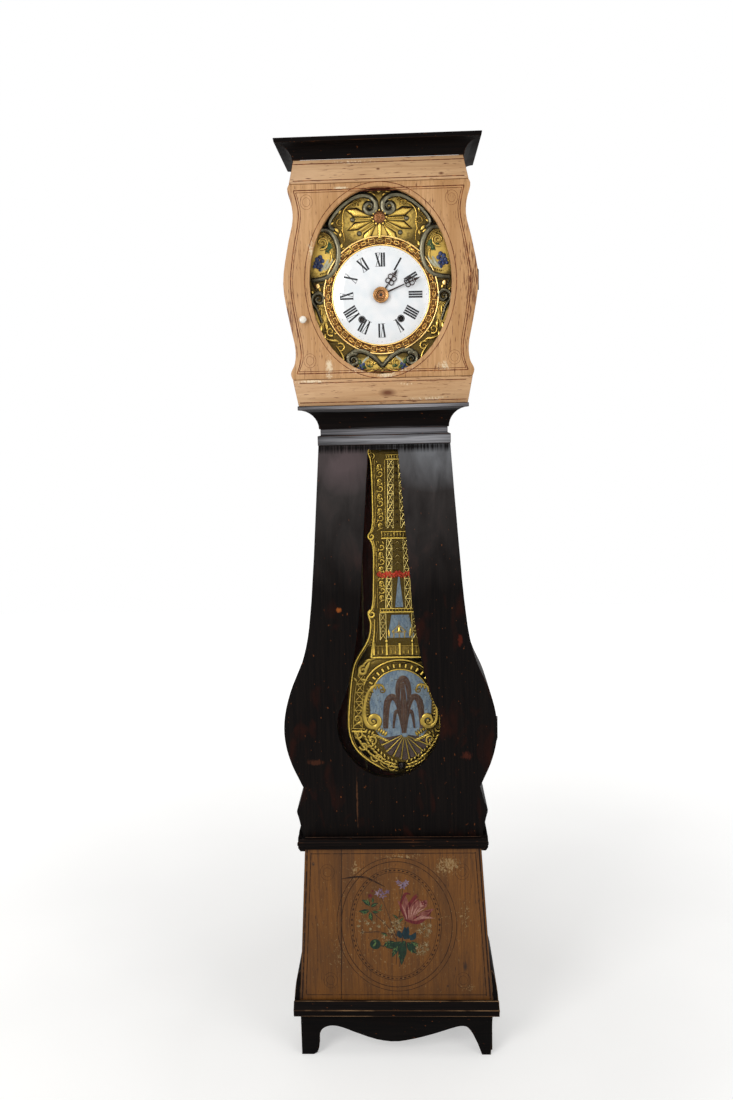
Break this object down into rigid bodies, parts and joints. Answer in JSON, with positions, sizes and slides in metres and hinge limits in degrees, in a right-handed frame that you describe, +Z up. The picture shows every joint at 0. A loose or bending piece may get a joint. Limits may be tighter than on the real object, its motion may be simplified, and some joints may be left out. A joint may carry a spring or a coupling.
{
  "type": "longcase clock",
  "caption": "Weight-driven longcase clock in a pear-waisted painted wooden case, with an oval glazed hood door, an enamel dial in an embossed brass surround and a wide pendulum.",
  "frame": {"origin": "on the floor under the middle of the whole clock, at the bottom centre of its bounding box", "axes": "+Z points up the case, +X to the viewer's right and the dial and doors face -Y, so +Y points into the wall behind the clock"},
  "size_m": [0.568, 0.2776, 2.4],
  "materials": {
    "hood_pine": "old varnished pine, light orange, with painted red lines",
    "base_pine": "old varnished pine, brown, with painted flowers and lines",
    "dark_paint": "worn black-brown paint over pine",
    "raw_pine": "unfinished sawn pine, aged",
    "glass": "thin old window glass, slightly wavy",
    "enamel": "white vitreous enamel with black numerals",
    "brass": "embossed and machined brass, lacquered, partly tinted",
    "black_iron": "blackened wrought iron",
    "blue_steel": "polished steel, blued almost black",
    "cast_iron": "rough cast iron",
    "bell_metal": "turned bell bronze",
    "porcelain": "glazed white porcelain",
    "hemp": "twisted hemp cord"
  },
  "bodies": {
    "case": {"plinth_apron_front": "dark_paint", "plinth_apron_right": "dark_paint", "plinth_apron_left": "dark_paint", "base_moulding_front": "dark_paint", "base_moulding_right": "dark_paint", "base_moulding_left": "dark_paint", "base_front_narrow_board": "base_pine", "base_front_wide_board": "base_pine", "base_side_right": "base_pine", "base_side_left": "base_pine", "waist_moulding_front": "dark_paint", "waist_moulding_right": "dark_paint", "waist_moulding_left": "dark_paint", "trunk_side_right": "dark_paint", "trunk_side_left": "dark_paint", "case_back": "raw_pine", "trunk_case_hinge_leaf": "black_iron", "neck_rail": "dark_paint", "neck_moulding_front": "dark_paint", "neck_moulding_right": "dark_paint", "neck_moulding_left": "dark_paint", "hood_bottom_rail": "hood_pine", "hood_top_rail": "hood_pine", "hood_side_right": "hood_pine", "hood_side_left": "hood_pine", "hood_roof": "raw_pine", "cornice_front": "dark_paint", "cornice_right": "dark_paint", "cornice_left": "dark_paint", "hood_case_hinge_leaf": "black_iron", "seat_board": "raw_pine", "movement_cage": "black_iron", "dial_surround": "brass", "enamel_dial": "enamel", "bell": "bell_metal", "going_rope": "hemp", "strike_rope": "hemp"},
    "trunk_door": {"trunk_door": "dark_paint", "trunk_glass_lower": "glass", "trunk_glass_upper": "glass", "trunk_door_hinge_leaf": "black_iron"},
    "hood_door": {"hood_door": "hood_pine", "hood_glass": "glass", "hood_knob": "porcelain", "hood_door_hinge_leaf": "black_iron"},
    "pendulum": {"pendulum_rod": "black_iron", "pendulum_front": "brass"},
    "anchor_crutch": {"anchor_crutch": "black_iron"},
    "minute_hand": {"minute_hand": "blue_steel"},
    "hour_hand": {"hour_hand": "blue_steel"},
    "going_barrel": {"going_barrel": "brass"},
    "strike_barrel": {"strike_barrel": "brass"},
    "going_great_wheel": {"going_great_wheel": "brass"},
    "strike_great_wheel": {"strike_great_wheel": "brass"},
    "going_second_wheel": {"going_second_wheel": "brass"},
    "strike_pin_wheel": {"strike_pin_wheel": "brass"},
    "escape_wheel": {"escape_wheel": "brass"},
    "hammer": {"hammer": "black_iron"},
    "going_weight": {"going_weight": "cast_iron"},
    "strike_weight": {"strike_weight": "cast_iron"}
  },
  "joints": [
    {"name": "hood_door_hinge", "type": "hinge", "parent": "case", "child": "hood_door", "pos_m": [0.2365, -0.07625, 2.07208], "axis": [0, 0, 1], "range_deg": [0, 95]},
    {"name": "trunk_door_hinge", "type": "hinge", "parent": "case", "child": "trunk_door", "pos_m": [0.28, -0.04125, 0.93013], "axis": [0, 0, 1], "range_deg": [0, 95]},
    {"name": "pendulum_swing", "type": "hinge", "parent": "case", "child": "pendulum", "pos_m": [0.028, -0.01825, 2.12729], "axis": [0, 1, 0], "range_deg": [-3, 3]},
    {"name": "anchor_rock", "type": "hinge", "parent": "case", "child": "anchor_crutch", "pos_m": [0.028, 0.05375, 2.12729], "axis": [0, 1, 0], "range_deg": [-3, 3]},
    {"name": "minute_hand_turn", "type": "hinge", "parent": "case", "child": "minute_hand", "pos_m": [0, -0.06, 2.044], "axis": [0, 1, 0], "continuous": true},
    {"name": "hour_hand_turn", "type": "hinge", "parent": "case", "child": "hour_hand", "pos_m": [0, -0.06, 2.044], "axis": [0, 1, 0], "continuous": true},
    {"name": "going_second_turn", "type": "hinge", "parent": "case", "child": "going_second_wheel", "pos_m": [0.028, 0.0537, 2.03359], "axis": [0, 1, 0], "continuous": true},
    {"name": "going_great_turn", "type": "hinge", "parent": "case", "child": "going_great_wheel", "pos_m": [0.048, 0.08525, 1.987], "axis": [0, 1, 0], "continuous": true},
    {"name": "escape_turn", "type": "hinge", "parent": "case", "child": "escape_wheel", "pos_m": [0.028, 0.05375, 2.07929], "axis": [0, 1, 0], "continuous": true},
    {"name": "strike_pin_turn", "type": "hinge", "parent": "case", "child": "strike_pin_wheel", "pos_m": [-0.028, 0.0537, 2.03359], "axis": [0, 1, 0], "continuous": true},
    {"name": "strike_great_turn", "type": "hinge", "parent": "case", "child": "strike_great_wheel", "pos_m": [-0.048, 0.08525, 1.987], "axis": [0, 1, 0], "continuous": true},
    {"name": "going_weight_slide", "type": "slide", "parent": "case", "child": "going_weight", "axis": [0, 0, 1], "range_m": [0, 1.4], "deforming": ["going_rope"]},
    {"name": "going_barrel_turn", "type": "hinge", "parent": "case", "child": "going_barrel", "pos_m": [0.048, 0.05375, 1.987], "axis": [0, 1, 0], "range_deg": [-3660, 0]},
    {"name": "strike_weight_slide", "type": "slide", "parent": "case", "child": "strike_weight", "axis": [0, 0, 1], "range_m": [0, 1.4], "deforming": ["strike_rope"]},
    {"name": "strike_barrel_turn", "type": "hinge", "parent": "case", "child": "strike_barrel", "pos_m": [-0.048, 0.05375, 1.987], "axis": [0, 1, 0], "range_deg": [0, 3660]},
    {"name": "hammer_swing", "type": "hinge", "parent": "case", "child": "hammer", "pos_m": [-0.094, 0.05575, 2.182], "axis": [0, 1, 0], "range_deg": [-14, 0]}
  ],
  "couplings": [
    {"joint": "anchor_rock", "follows": "pendulum_swing", "ratio": 1},
    {"joint": "hour_hand_turn", "follows": "minute_hand_turn", "ratio": 0.083333},
    {"joint": "going_great_turn", "follows": "going_second_turn", "ratio": -0.11111},
    {"joint": "escape_turn", "follows": "going_second_turn", "ratio": -8},
    {"joint": "strike_great_turn", "follows": "strike_pin_turn", "ratio": -0.11111},
    {"joint": "going_barrel_turn", "follows": "going_weight_slide", "rad_per_m": -45.455},
    {"joint": "strike_barrel_turn", "follows": "strike_weight_slide", "rad_per_m": 45.455}
  ]
}
